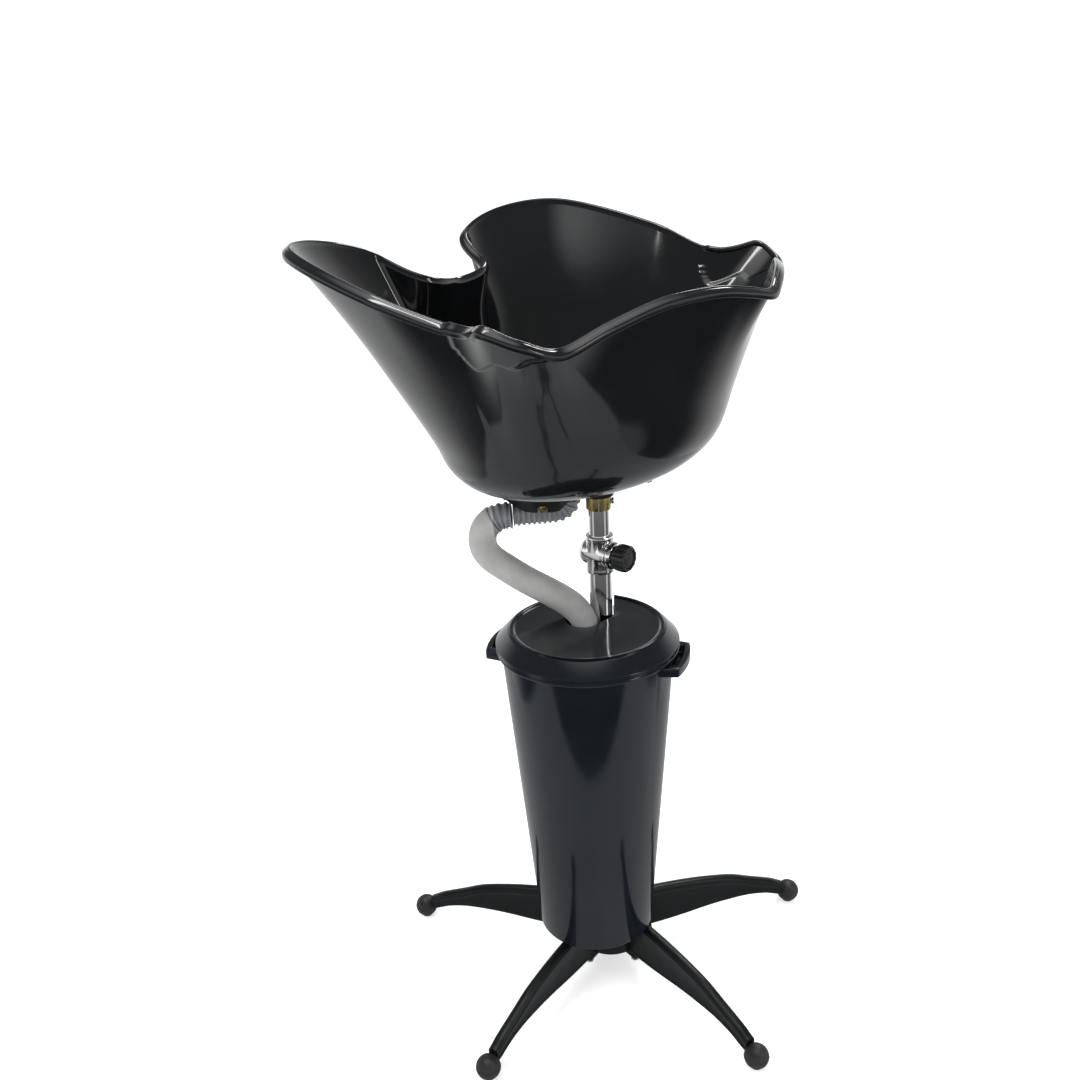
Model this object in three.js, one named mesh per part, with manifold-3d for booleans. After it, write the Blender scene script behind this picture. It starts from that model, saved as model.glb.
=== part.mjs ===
// Shampoo backwash unit: a tilted-rim basin on a telescopic mast, a drain hose that runs into a
// lidded waste bucket, and a five-legged base.  Millimetres, +Z up, origin on the floor under the mast.
import * as THREE from 'three';
import { mergeVertices } from 'three/addons/utils/BufferGeometryUtils.js';
import Module from 'manifold-3d';

const wasm = await Module();
wasm.setup();

// ---------------------------------------------------------------- driving dimensions
const GAP = 0.3;                    // clearance between pieces that touch
const LEG_COUNT = 5;
const LEG_TURN = 2.4;               // degrees, first leg's turn past the symmetric place
const LEG_REACH = 280;              // mast axis to foot centre
const LEG_THICK = 15;
const FOOT_RADIUS = 15.5;
const HUB_RADIUS = 46;
const HUB_TOP = 87.4;
const BOLT_CIRCLE = 53;             // leg bolts, each in a tab under its leg
const FLANGE_BOTTOM = 19;
const FLANGE_TOP = 23.6;

const LOWER_R = 14;                 // outer tube of the mast
const LOWER_BORE = 13.3;
const LOWER_BASE = 34.3;
const LOWER_TOP = 586;
const UPPER_R = 13;                 // inner tube that slides in it
const UPPER_BORE = 11.4;
const UPPER_BASE = 404;
const UPPER_TOP = 687.6;

const CLAMP_Z = 598;                // knob axis height
const KNOB_AZIMUTH = -37;           // degrees, direction that the knob points
const BARREL_R = 17.5;

const BUCKET = new THREE.Vector2(-18.5, -37.7);   // bucket axis
const BUCKET_BASE = 88;
const BUCKET_TOP = 497;
const BUCKET_BASE_R = 75;
const BUCKET_TOP_R = 107;
const BUCKET_WALL = 3;
const LID_R = 113;
const LID_TOP = 516.6;
const EAR_AZIMUTH = -15;            // degrees, direction of the right-hand bucket grip
const CHANNEL_R = 15.5;             // groove that lets the bucket pass the mast
const HOSE_AT_LID = new THREE.Vector2(-22, -21.5);

const BASIN_AZIMUTH = -31;          // degrees, direction from the neck rest to the rear
const BASIN_WALL = 4;
const BASIN_FLOOR = 692;            // underside of the basin
const LIP_WIDTH = 9;
const LIP_DROP = 12;
const DRAIN_T = -42;                // drain axis along the basin's centre line
const PLATE_TOP = BASIN_FLOOR - GAP;
const PLATE_BOTTOM = 684;

// ---------------------------------------------------------------- small tools
const degrees = (angle) => THREE.MathUtils.degToRad(angle);
const polar = (radius, angle) => [radius * Math.cos(degrees(angle)), radius * Math.sin(degrees(angle))];

// A point given along the basin's centre line (t), across it (w) and up (z).
const AXIS = new THREE.Vector2(...polar(1, BASIN_AZIMUTH));
const basinPoint = (t, w, z) => new THREE.Vector3(t * AXIS.x - w * AXIS.y, t * AXIS.y + w * AXIS.x, z);

function volumeOf(positions, index) {
  const [a, b, c] = [new THREE.Vector3(), new THREE.Vector3(), new THREE.Vector3()];
  let volume = 0;
  for (let i = 0; i < index.length; i += 3) {
    a.fromArray(positions, 3 * index[i]);
    b.fromArray(positions, 3 * index[i + 1]);
    c.fromArray(positions, 3 * index[i + 2]);
    volume += a.dot(b.cross(c));
  }
  return volume;
}

// Merges shared points, drops collapsed triangles and turns every face outward.
function closed(source) {
  const bare = source.clone();
  bare.deleteAttribute('normal');
  bare.deleteAttribute('uv');
  const merged = mergeVertices(bare, 1e-3);
  const old = merged.index.array;
  const kept = [];
  for (let i = 0; i < old.length; i += 3) {
    const [a, b, c] = [old[i], old[i + 1], old[i + 2]];
    if (a !== b && b !== c && c !== a) kept.push(a, b, c);
  }
  if (volumeOf(merged.attributes.position.array, kept) < 0) kept.reverse();
  merged.setIndex(kept);
  return merged;
}

function toSolid(geometry) {
  const merged = closed(geometry);
  const vertProperties = new Float32Array(merged.attributes.position.array);
  const triVerts = new Uint32Array(merged.index.array);
  return new wasm.Manifold(new wasm.Mesh({ numProp: 3, vertProperties, triVerts }));
}

function fromSolid(solid) {
  const mesh = solid.getMesh();
  const geometry = new THREE.BufferGeometry();
  geometry.setAttribute('position', new THREE.BufferAttribute(mesh.vertProperties, 3));
  geometry.setIndex(new THREE.BufferAttribute(mesh.triVerts, 1));
  return geometry;
}

const combine = (method, first, others) => (
  fromSolid(others.reduce((solid, tool) => solid[method](toSolid(tool)), toSolid(first)))
);
const cut = (body, ...tools) => combine('subtract', body, tools);
const join = (body, ...others) => combine('add', body, others);

// Solid of revolution about +Z from [radius, height] points.
function revolve(points, segments = 24) {
  const profile = points.map(([radius, height]) => new THREE.Vector2(radius, height));
  return closed(new THREE.LatheGeometry(profile, segments).rotateX(Math.PI / 2));
}

const disc = (radius, bottom, top, segments = 24) => (
  revolve([[0, bottom], [radius, bottom], [radius, top], [0, top]], segments)
);
const ring = (inner, outer, bottom, top, segments = 24) => (
  revolve([[inner, bottom], [outer, bottom], [outer, top], [inner, top], [inner, bottom]], segments)
);
const hexagon = (acrossFlats, bottom, top) => disc(acrossFlats / Math.sqrt(3), bottom, top, 6);
const box = (sx, sy, sz, x, y, z) => new THREE.BoxGeometry(sx, sy, sz).translate(x, y, z);

// Flat outline of [x, y] points or a Shape, raised from bottom to top.
function slab(shape, bottom, top) {
  const settings = { depth: top - bottom, bevelEnabled: false, curveSegments: 10 };
  return closed(new THREE.ExtrudeGeometry(shape, settings).translate(0, 0, bottom));
}

// Rows of points joined into a skin; each row is a closed loop.
function skin(rows, joinEnds) {
  const count = rows[0].length;
  const points = rows.flat();
  const index = [];
  const steps = joinEnds ? rows.length : rows.length - 1;
  for (let row = 0; row < steps; row += 1) {
    const next = (row + 1) % rows.length;
    for (let i = 0; i < count; i += 1) {
      const j = (i + 1) % count;
      const [a, b, c, d] = [row * count + i, row * count + j, next * count + j, next * count + i];
      index.push(a, b, c, a, c, d);
    }
  }
  if (!joinEnds) {
    for (let i = 1; i < count - 1; i += 1) {
      const last = (rows.length - 1) * count;
      index.push(0, i + 1, i, last, last + i, last + i + 1);
    }
  }
  const geometry = new THREE.BufferGeometry().setFromPoints(points);
  geometry.setIndex(index);
  return closed(geometry);
}

// Plain round tube along a curve.
function tubeAlong(points, radius, steps, sides = 10) {
  const circle = new THREE.Shape().absarc(0, 0, radius, 0, 2 * Math.PI, false);
  const path = new THREE.CatmullRomCurve3(points.map(([x, y, z]) => new THREE.Vector3(x, y, z)));
  const settings = { steps, extrudePath: path, bevelEnabled: false, curveSegments: sides / 2 };
  return closed(new THREE.ExtrudeGeometry(circle, settings));
}

// ---------------------------------------------------------------- the group and its finishes
const unit = new THREE.Group();
const FINISH = {
  basin: { color: 0x0b0d0f, roughness: 0.12, metalness: 0 },
  bucket: { color: 0x11141b, roughness: 0.16, metalness: 0 },
  satin: { color: 0x0d0f10, roughness: 0.45, metalness: 0 },
  chrome: { color: 0xd8dadb, roughness: 0.08, metalness: 1 },
  zinc: { color: 0xb49a3c, roughness: 0.3, metalness: 1 },
  steel: { color: 0x8d9092, roughness: 0.3, metalness: 1 },
  hose: { color: 0x9a9c9f, roughness: 0.55, metalness: 0 },
  hoseRib: { color: 0x7b7e84, roughness: 0.5, metalness: 0 },
  rubber: { color: 0x090a0a, roughness: 0.7, metalness: 0 },
  nylon: { color: 0xd9d6cc, roughness: 0.5, metalness: 0 },
  knob: { color: 0x101113, roughness: 0.35, metalness: 0 },
};

function add(name, geometry, finish, parent = unit) {
  const mesh = new THREE.Mesh(geometry, new THREE.MeshStandardMaterial(FINISH[finish]));
  mesh.name = name;
  parent.add(mesh);
  return mesh;
}

// ---------------------------------------------------------------- base
function hubGeometry() {
  const body = revolve([
    [0, FLANGE_BOTTOM], [41, FLANGE_BOTTOM], [HUB_RADIUS - 0.6, 23], [HUB_RADIUS, 25],
    [HUB_RADIUS, HUB_TOP - 3], [HUB_RADIUS - 3, HUB_TOP], [0, HUB_TOP],
  ], 36);
  const tabs = legAngles().map((angle) => (
    box(34, 13, FLANGE_TOP - FLANGE_BOTTOM, 43, 0, (FLANGE_TOP + FLANGE_BOTTOM) / 2).rotateZ(degrees(angle))
  ));
  const boltHoles = legAngles().map((angle) => {
    const [x, y] = polar(BOLT_CIRCLE, angle);
    return disc(3.4, FLANGE_BOTTOM - 1, FLANGE_TOP + 1, 12).translate(x, y, 0);
  });
  const mastBore = disc(LOWER_R + GAP, LOWER_BASE - GAP, HUB_TOP + 1);
  const boltBore = disc(5.4, FLANGE_BOTTOM - 1, LOWER_BASE, 20);
  return cut(join(body, ...tabs), mastBore, boltBore, ...boltHoles);
}

function legAngles() {
  return Array.from({ length: LEG_COUNT }, (_, i) => 18 + LEG_TURN + (360 / LEG_COUNT) * i);
}

// Side outline of a leg: an arched blade that thins towards the foot.
function legOutline() {
  const top = [[265, 36], [254, 42], [220, 55], [190, 66.5], [155, 74], [125, 78.5], [90, 82], [46.3, 85]];
  const under = [[85, 25], [115, 27], [150, 30], [180, 31], [213, 30], [240, 25], [265, 16]];
  const shape = new THREE.Shape();
  shape.moveTo(46.3, 24);
  shape.splineThru(under.map(([r, z]) => new THREE.Vector2(r, z)));
  shape.lineTo(284, 13);
  shape.lineTo(284, 27);
  shape.splineThru(top.map(([r, z]) => new THREE.Vector2(r, z)));
  return shape;
}

function legGeometry() {
  const settings = { depth: LEG_THICK, bevelEnabled: false, curveSegments: 2, steps: 1 };
  const blade = new THREE.ExtrudeGeometry(legOutline(), settings);
  blade.rotateX(Math.PI / 2).translate(0, LEG_THICK / 2, 0);
  const hubWall = disc(HUB_RADIUS + GAP, 0, 120, 36);
  const ball = new THREE.SphereGeometry(FOOT_RADIUS + 3 * GAP, 16, 12).translate(LEG_REACH, 0, FOOT_RADIUS);
  const boltHole = disc(3.1, 10, 41, 16).translate(BOLT_CIRCLE, 0, 0);
  return cut(blade, hubWall, ball, boltHole);
}

function footGeometry() {
  const points = [[0, 0], [8, 0]];
  for (let angle = -58; angle <= 92; angle += 29.6) {
    const [radius, height] = polar(FOOT_RADIUS, angle);
    points.push([Math.max(radius, 0), FOOT_RADIUS + height]);
  }
  points[points.length - 1][0] = 0;
  return revolve(points, 16);
}

function legBoltGeometry() {
  const head = hexagon(10, FLANGE_BOTTOM - 5, FLANGE_BOTTOM - GAP);
  return join(head, disc(2.8, FLANGE_BOTTOM - 1, 40, 16));
}

function addBase() {
  add('base_hub', hubGeometry(), 'satin');
  legAngles().forEach((angle, i) => {
    const arm = new THREE.Group();
    arm.rotation.z = degrees(angle);
    unit.add(arm);
    add(`leg_${i + 1}`, legGeometry(), 'satin', arm);
    add(`foot_${i + 1}`, footGeometry(), 'rubber', arm).position.set(LEG_REACH, 0, 0);
    add(`leg_bolt_${i + 1}`, legBoltGeometry(), 'steel', arm).position.set(BOLT_CIRCLE, 0, 0);
  });
  add('mast_washer', ring(5.6, 12, 15.7, FLANGE_BOTTOM - GAP, 24), 'steel');
  add('mast_bolt', join(hexagon(17, 8, 15.4), disc(5, 15, 70, 20)), 'steel');
  add('mast_plug', ring(5.4, LOWER_BORE - 0.35, LOWER_BASE + 1, 76), 'nylon');
}

// ---------------------------------------------------------------- mast and clamp
// Turns a piece modelled along +Z so that it points out along the knob's axis.
function alongKnob(geometry) {
  return geometry.rotateY(Math.PI / 2).rotateZ(degrees(KNOB_AZIMUTH)).translate(0, 0, CLAMP_Z);
}

function clampGeometry() {
  const sleeve = revolve([
    [0, 574], [16.6, 574], [17.6, 575], [17.6, 621], [16.6, 622], [0, 622],
  ], 32);
  const barrel = alongKnob(revolve([
    [0, -25], [8, -24.2], [13.5, -22], [16.5, -18.5], [BARREL_R, -15], [BARREL_R, 16.7],
    [BARREL_R - 1, 17.7], [0, 17.7],
  ], 28));
  const screwBore = alongKnob(disc(4.4, 0, 20, 16));
  return cut(
    join(sleeve, barrel),
    disc(LOWER_R + GAP, 570, LOWER_TOP + GAP),
    disc(15, LOWER_TOP, 592.6),
    disc(UPPER_R + 0.35, 590, 630),
    screwBore,
  );
}

// The pad sits in the screw bore, hollowed to the curve of the tube that it presses on.
function padGeometry() {
  const pin = alongKnob(disc(4, 0, 15.6, 20));
  return cut(pin, disc(UPPER_R + GAP, 580, 620, 60));
}

function knobGeometry() {
  const body = revolve([
    [0, 26.4], [13.5, 26.4], [15.8, 27.6], [17, 30], [17.2, 37], [16.8, 41.5], [15, 44], [12.2, 44.6],
    [11.6, 42.4], [0, 42.4],
  ], 36);
  const screwBore = disc(4.5, 20, 38, 16);
  const flutes = Array.from({ length: 12 }, (_, i) => {
    const [x, y] = polar(18.6, 30 * i);
    return disc(2.4, 20, 50, 8).translate(x, y, 0);
  });
  return alongKnob(cut(body, screwBore, ...flutes));
}

function addMast() {
  add('lower_mast', ring(LOWER_BORE, LOWER_R, LOWER_BASE, LOWER_TOP), 'chrome');
  add('clamp_body', clampGeometry(), 'chrome');
  add('guide_bush', ring(UPPER_R + 0.1, 14.7, LOWER_TOP + GAP, 592.3), 'nylon');
  add('clamp_ring', alongKnob(revolve([
    [5, 18], [16.2, 18], [17.2, 19], [17.2, 22], [15.4, 24.6], [12.5, 26], [5, 26], [5, 18],
  ])), 'chrome');
  add('clamp_pad', padGeometry(), 'nylon');
  add('clamp_screw', alongKnob(disc(4.1, 15.9, 37.6, 16)), 'steel');
  add('clamp_knob', knobGeometry(), 'knob');
  add('knob_cap', alongKnob(revolve([[0, 42.7], [11.2, 42.7], [11.2, 43.3], [8, 44], [0, 44.2]])), 'knob');
  add('upper_mast', ring(UPPER_BORE, UPPER_R, UPPER_BASE, UPPER_TOP), 'chrome');
  add('mast_glide', join(
    disc(LOWER_BORE - 0.15, UPPER_BASE - 8, UPPER_BASE - GAP),
    disc(UPPER_BORE - GAP, UPPER_BASE - 1, UPPER_BASE + 18),
  ), 'nylon');
}

// ---------------------------------------------------------------- basin
// Half of the rim from the middle of the neck rest to the middle of the rear: along, across, up.
const RIM_HALF = [
  [-197, 0, 922], [-196, 52, 931], [-249, 86, 962], [-257, 176, 985], [-211, 267, 989],
  [-76, 302, 956], [23, 285, 923], [68, 314, 933], [98, 303, 922], [114, 284, 914],
  [124, 260, 909], [144, 205, 924], [168, 144, 938], [186, 105, 941], [201, 70, 940],
  [213, 35, 934], [221, 0, 928],
];
// Level sections under the wall: centre, half length, half width, height.
const SECTIONS = [
  [-60, 78, 80, BASIN_FLOOR], [-52, 98, 110, BASIN_FLOOR + 3], [-44, 118, 136, BASIN_FLOOR + 12],
  [-34, 146, 161, BASIN_FLOOR + 33], [-26, 164, 180, BASIN_FLOOR + 62],
];
const RIM_SAMPLES = 56;
const WALL_STEPS = [0.33, 0.66, 0.92];

function rimPoints() {
  const mirrored = RIM_HALF.slice(1, -1).reverse().map(([t, w, z]) => [t, -w, z]);
  const points = [...RIM_HALF, ...mirrored].map(([t, w, z]) => new THREE.Vector3(t, w, z));
  const curve = new THREE.CatmullRomCurve3(points, true, 'centripetal');
  return curve.getSpacedPoints(RIM_SAMPLES).slice(0, RIM_SAMPLES);
}

// Level outward direction of the rim at sample i.
function rimOutward(points, i) {
  const before = points[(i + points.length - 2) % points.length];
  const after = points[(i + 2) % points.length];
  const side = new THREE.Vector3(before.y - after.y, after.x - before.x, 0).normalize();
  const centre = new THREE.Vector3(-53, 0, 0);
  return side.dot(points[i].clone().sub(centre)) < 0 ? side.negate() : side;
}

function sectionPoint([centre, length, width, height], point, wall) {
  const angle = Math.atan2(point.y, point.x - centre);
  return new THREE.Vector3(
    centre + (length - wall) * Math.cos(angle), (width - wall) * Math.sin(angle), height + wall,
  );
}

// Closed wall profile at one place of the rim: up the outside, round the lip, down the inside.
function wallProfile(points, i) {
  const rim = points[i];
  const out = rimOutward(points, i);
  const drain = new THREE.Vector3(rim.x - DRAIN_T, rim.y, 0).setLength(21.5);
  const floorHole = (height) => new THREE.Vector3(DRAIN_T + drain.x, drain.y, height);
  const shifted = (outward, up) => rim.clone().addScaledVector(out, outward).add(new THREE.Vector3(0, 0, up));
  const wallTop = (inset) => shifted(-LIP_WIDTH - inset, -LIP_DROP / 2);
  const outside = SECTIONS.map((section) => sectionPoint(section, rim, 0));
  const inside = SECTIONS.map((section) => sectionPoint(section, rim, BASIN_WALL));
  const side = (foot, top) => WALL_STEPS.map((step) => foot.clone().lerp(top, step));
  const profile = [
    floorHole(BASIN_FLOOR), ...outside, ...side(outside[4], wallTop(0)),
    shifted(-LIP_WIDTH, -4.5), shifted(-LIP_WIDTH + 3, -4), shifted(-3, -4.5), shifted(-2.6, 3 - LIP_DROP),
    shifted(0, 3 - LIP_DROP), shifted(0.6, 0), shifted(-1.5, 2.6), shifted(-LIP_WIDTH, 1.5),
    ...side(inside[4], wallTop(BASIN_WALL)).reverse(), ...inside.reverse(),
    floorHole(BASIN_FLOOR + BASIN_WALL),
  ];
  return profile.map((point) => basinPoint(point.x, point.y, point.z));
}

function basinGeometry() {
  const points = rimPoints();
  return skin(points.map((_, i) => wallProfile(points, i)), true);
}

// Fixing bolts of the bracket: place on the floor of the basin and height of the boss under them.
const BRACKET_BOLTS = [[-112, -2, 680], [-68, -8, 665], [-35, 62, 665], [-110, 62, 680]];
const REAR_SCREW = [60, -12];

function addBasin() {
  const rearBoss = disc(7, 696.6, 720, 20).translate(...REAR_SCREW, 0);
  const rearBore = disc(2.6, 690, 713, 16).translate(...REAR_SCREW, 0);
  const boltHoles = BRACKET_BOLTS.map(([x, y]) => disc(3.4, 680, 710, 16).translate(x, y, 0));
  add('basin_shell', cut(join(basinGeometry(), rearBoss), rearBore, ...boltHoles), 'basin');
  add('rear_screw', join(disc(5, 691, 696.3, 16), disc(2.2, 696, 711, 16)), 'steel')
    .position.set(...REAR_SCREW, 0);
}

// Plate and skirt under the basin, with the socket that the mast is clamped in.
function bracketGeometry() {
  const [centreX, centreY] = [-67, 30];
  const skirt = revolve([[61, 687], [66, 687], [41.5, 654], [37, 654], [61, 687]], 36)
    .scale(1, 0.88, 1).translate(centreX, centreY, 0);
  const plate = disc(66, PLATE_BOTTOM, PLATE_TOP, 36).scale(1, 0.88, 1).translate(centreX, centreY, 0);
  const arm = box(72, 34, PLATE_TOP - PLATE_BOTTOM, -33, 0, (PLATE_TOP + PLATE_BOTTOM) / 2)
    .rotateZ(degrees(BASIN_AZIMUTH + 7));
  const lug = disc(19, 673, PLATE_TOP, 36);
  const bosses = BRACKET_BOLTS.map(([x, y, z]) => disc(8, z, PLATE_BOTTOM + 1, 20).translate(x, y, 0));
  const boltHoles = BRACKET_BOLTS.map(([x, y]) => disc(3.4, 640, 700, 16).translate(x, y, 0));
  const nutPockets = BRACKET_BOLTS.map(([x, y, z]) => disc(7.4, 640, z, 20).translate(x, y, 0));
  const hoseArch = tubeAlong([[-50, 19, 646], [-85, 16.5, 645.6], [-150, 12, 645]], 19.5, 2, 12);
  return cut(
    join(plate, skirt, arm, lug, ...bosses),
    disc(UPPER_R + GAP, 660, UPPER_TOP + GAP),
    disc(14.4, 640, 700).translate(DRAIN.x, DRAIN.y, 0),
    disc(27, 640, PLATE_BOTTOM).translate(DRAIN.x, DRAIN.y, 0),
    hoseArch, ...boltHoles, ...nutPockets,
  );
}

function addBracket() {
  add('basin_bracket', bracketGeometry(), 'satin');
  BRACKET_BOLTS.forEach(([x, y, boss], i) => {
    const bolt = join(
      revolve([[0, 696.4], [7, 696.4], [6, 698.4], [3.5, 699.6], [0, 700]], 20),
      disc(3, boss - 9, 697, 16),
    );
    add(`bracket_bolt_${i + 1}`, bolt, 'zinc').position.set(x, y, 0);
    add(`bracket_nut_${i + 1}`, cut(hexagon(10, boss - 5.3, boss - GAP), disc(3.3, 600, 700, 16)), 'zinc')
      .position.set(x, y, 0);
  });
  const collar = revolve([
    [13.3, 656], [14.6, 656], [15.2, 656.6], [15.2, 672], [14.6, 672.6], [13.3, 672.6], [13.3, 656],
  ]);
  add('mast_collar', cut(collar, disc(2.8, 0, 20, 16).rotateY(Math.PI / 2).translate(0, 0, 665)), 'zinc');
  add('collar_screw', join(disc(2.5, 13.3, 18, 16), disc(4, 15.6, 18.6, 16)).rotateY(Math.PI / 2), 'steel')
    .position.set(0, 0, 665);
}

// ---------------------------------------------------------------- drain
const DRAIN = basinPoint(DRAIN_T, 0, 0);

function strainerGeometry(floor) {
  const dish = revolve([
    [0, floor - 8], [9, floor - 7], [11.4, floor - 2.6], [17, floor + 2.9], [19, floor + 3.6],
    [17, floor + 4.4], [10.6, floor - 0.6], [8.6, floor - 5], [0, floor - 6],
  ]);
  const slots = Array.from({ length: 6 }, (_, i) => {
    const [x, y] = polar(5.6, 60 * i);
    return disc(1.5, floor - 12, floor + 2, 8).translate(x, y, 0);
  });
  const grip = revolve([
    [0, floor - 7], [2.2, floor - 7], [2.2, floor + 3], [5, floor + 5], [4, floor + 7.4], [0, floor + 7.8],
  ], 20);
  return join(cut(dish, ...slots), grip);
}

function addDrain() {
  const floor = BASIN_FLOOR + BASIN_WALL;
  const top = new THREE.Group();
  top.position.set(DRAIN.x, DRAIN.y, 0);
  unit.add(top);
  add('drain_flange', revolve([
    [12.2, 669.2], [14, 669.2], [14, floor + GAP], [25, floor + GAP], [26, floor + 1.2], [18, floor + 2.2],
    [12.2, floor - 2], [12.2, 669.2],
  ]), 'chrome', top);
  add('drain_gasket', ring(14.3, 24, PLATE_BOTTOM - 3, PLATE_BOTTOM - GAP), 'rubber', top);
  add('drain_locknut', cut(disc(23, 674, PLATE_BOTTOM - 3.3, 8), disc(14.3, 660, 700)), 'satin', top);
  add('drain_strainer', strainerGeometry(floor), 'chrome', top);
  add('hose_clip', cut(
    join(ring(15.5, 16.9, 662, 667), box(7, 9, 5, 0, 20, 664.5)), disc(15.5, 650, 670),
  ), 'steel', top);
}

// ---------------------------------------------------------------- drain hose
// Ribbed hose from the drain, then a smooth hose that turns back and runs down into the bucket.
const HOSE_R = 14;
const SLEEVE_R = 17.5;
const LID_END_R = 15.5;
const RIBBED_ROUTE = [
  [-36, 21.6, 667.4], [-36, 21.6, 661], [-39.6, 21, 653], [-49, 20, 647.5], [-62, 19, 646],
  [-85, 16.5, 645.6], [-105, 14, 645.2],
];
const SMOOTH_ROUTE = [
  [-107.2, 13.7, 645.1], [-119, 13.6, 644.4], [-130, 13.6, 640], [-140.5, 13.8, 629.5],
  [-145, 14, 615], [-142.8, 13.8, 601], [-134, 12.8, 589], [-115.7, 10, 576],
  [-91.3, 5, 561.2], [-68, 0, 549.7], [-50, -6, 541], [-35.5, -12.5, 532.5], [-26.3, -18, 523.5],
  [-21.3, -22.5, 513], [-19.8, -26.5, 502], [-20, -30, 488], [-21, -33, 470], [-21.5, -34, 450],
  [-21.5, -34, 430],
];
const SPLIT = 0.34;                 // share of the smooth hose that belongs to its upper piece
const TAPER = [0.62, 0.78];         // where the smooth hose narrows to pass the lid

const routeCurve = (route) => (
  new THREE.CatmullRomCurve3(route.map(([x, y, z]) => new THREE.Vector3(x, y, z)))
);

// Piece of a hose between two shares of its length; radiusAt gives its size along the way.
function hosePiece(route, start, end, steps, radiusAt) {
  const curve = routeCurve(route);
  const rows = Array.from({ length: steps + 1 }, (_, row) => {
    const share = start + (end - start) * (row / steps);
    const centre = curve.getPointAt(share);
    const along = curve.getTangentAt(share);
    const across = new THREE.Vector3(0, 1, 0).cross(along).normalize();
    const beside = along.clone().cross(across);
    return Array.from({ length: 10 }, (_, i) => {
      const [a, b] = polar(radiusAt(share), 36 * i);
      return centre.clone().addScaledVector(across, a).addScaledVector(beside, b);
    });
  });
  return skin(rows, false);
}

const smoothRadius = (share) => (
  THREE.MathUtils.lerp(SLEEVE_R, LID_END_R, THREE.MathUtils.smoothstep(share, ...TAPER))
);

function addHose() {
  add('hose_ribbed', hosePiece(RIBBED_ROUTE, 0, 1, 10, () => HOSE_R), 'hoseRib');
  add('hose_sleeve', hosePiece(SMOOTH_ROUTE, 0, SPLIT - 0.001, 9, smoothRadius), 'hose');
  add('hose_lower', hosePiece(SMOOTH_ROUTE, SPLIT, 1, 17, smoothRadius), 'hose');
}

// ---------------------------------------------------------------- bucket and lid
function bucketSolid(shrink, bottom, top) {
  const slope = (BUCKET_TOP_R - BUCKET_BASE_R) / (BUCKET_TOP - BUCKET_BASE);
  const radiusAt = (z) => BUCKET_BASE_R + slope * (z - BUCKET_BASE) - shrink;
  return revolve([
    [0, bottom], [radiusAt(bottom) - 7, bottom], [radiusAt(bottom) - 2, bottom + 2],
    [radiusAt(bottom + 7), bottom + 7], [radiusAt(top), top], [0, top],
  ], 48).translate(BUCKET.x, BUCKET.y, 0);
}

// Upright slot round the mast, open towards +Y.
function mastSlot(radius, bottom, top) {
  const shape = new THREE.Shape();
  shape.moveTo(radius, 0);
  shape.lineTo(radius, 160);
  shape.lineTo(-radius, 160);
  shape.lineTo(-radius, 0);
  shape.absarc(0, 0, radius, Math.PI, 2 * Math.PI, false);
  return slab(shape, bottom, top);
}

// A grip on the bucket's wall: a flat part ring with a finger slot.
function earGeometry(angle) {
  const span = degrees(22);
  const shape = new THREE.Shape();
  shape.absarc(0, 0, 126, -span + 0.09, span - 0.09, false);
  shape.absarc(0, 0, 103, span + 0.03, -span - 0.03, true);
  const hole = new THREE.Path();
  hole.absarc(0, 0, 118.5, -0.24, 0.24, false);
  hole.absarc(0, 0, 110, 0.24, -0.24, true);
  shape.holes.push(hole);
  return slab(shape, 477, 489).rotateZ(degrees(angle)).translate(BUCKET.x, BUCKET.y, 0);
}

function bucketGeometry() {
  const bead = ring(BUCKET_TOP_R - 1, BUCKET_TOP_R + 2, BUCKET_TOP - 6, BUCKET_TOP, 48)
    .translate(BUCKET.x, BUCKET.y, 0);
  const shell = join(
    bucketSolid(0, BUCKET_BASE, BUCKET_TOP), bead, earGeometry(EAR_AZIMUTH), earGeometry(EAR_AZIMUTH + 180),
  );
  const hollow = cut(
    bucketSolid(BUCKET_WALL, BUCKET_BASE + BUCKET_WALL, BUCKET_TOP + 5),
    mastSlot(CHANNEL_R + BUCKET_WALL - 0.5, BUCKET_BASE - 5, BUCKET_TOP + 10),
  );
  return cut(shell, hollow, mastSlot(CHANNEL_R, BUCKET_BASE - 5, BUCKET_TOP + 10));
}

// Opening in the lid for the mast and the slanting hose end, open towards +Y.
function lidNotch() {
  const [reach, depth] = [22, 20.5];
  const left = HOSE_AT_LID.x - reach;
  const right = LOWER_R + 2.5;
  const shape = new THREE.Shape();
  shape.moveTo(right, 0);
  shape.lineTo(right, 120);
  shape.lineTo(left, 120);
  shape.lineTo(left, HOSE_AT_LID.y);
  shape.absellipse(HOSE_AT_LID.x, HOSE_AT_LID.y, reach, depth, Math.PI, 1.9 * Math.PI, false, 0);
  shape.lineTo(12, -13.5);
  return slab(shape, 480, 540);
}

function lidGeometry() {
  const shell = revolve([
    [0, LID_TOP - 3.2], [89.5, LID_TOP - 3.2], [94, LID_TOP - 2], [106.4, 499.6], [109.4, 497.4],
    [109.4, 491], [LID_R - 0.5, 491], [LID_R, 492.4], [LID_R, 499], [111.6, 501.4], [97.2, 517.4],
    [94, 519], [91, 518.3], [88.5, LID_TOP], [0, LID_TOP],
  ], 48).translate(BUCKET.x, BUCKET.y, 0);
  return cut(shell, lidNotch());
}

function addBucket() {
  add('bucket', bucketGeometry(), 'bucket');
  add('lid', lidGeometry(), 'bucket');
}

addBase();
addMast();
addBasin();
addBracket();
addDrain();
addHose();
addBucket();

export default unit;
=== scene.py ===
"""Shampoo backwash unit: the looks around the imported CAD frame.  Shapes are worked out in millimetres."""
import math

import bmesh
import bpy
import numpy as np
from mathutils import Matrix, Vector


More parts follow.
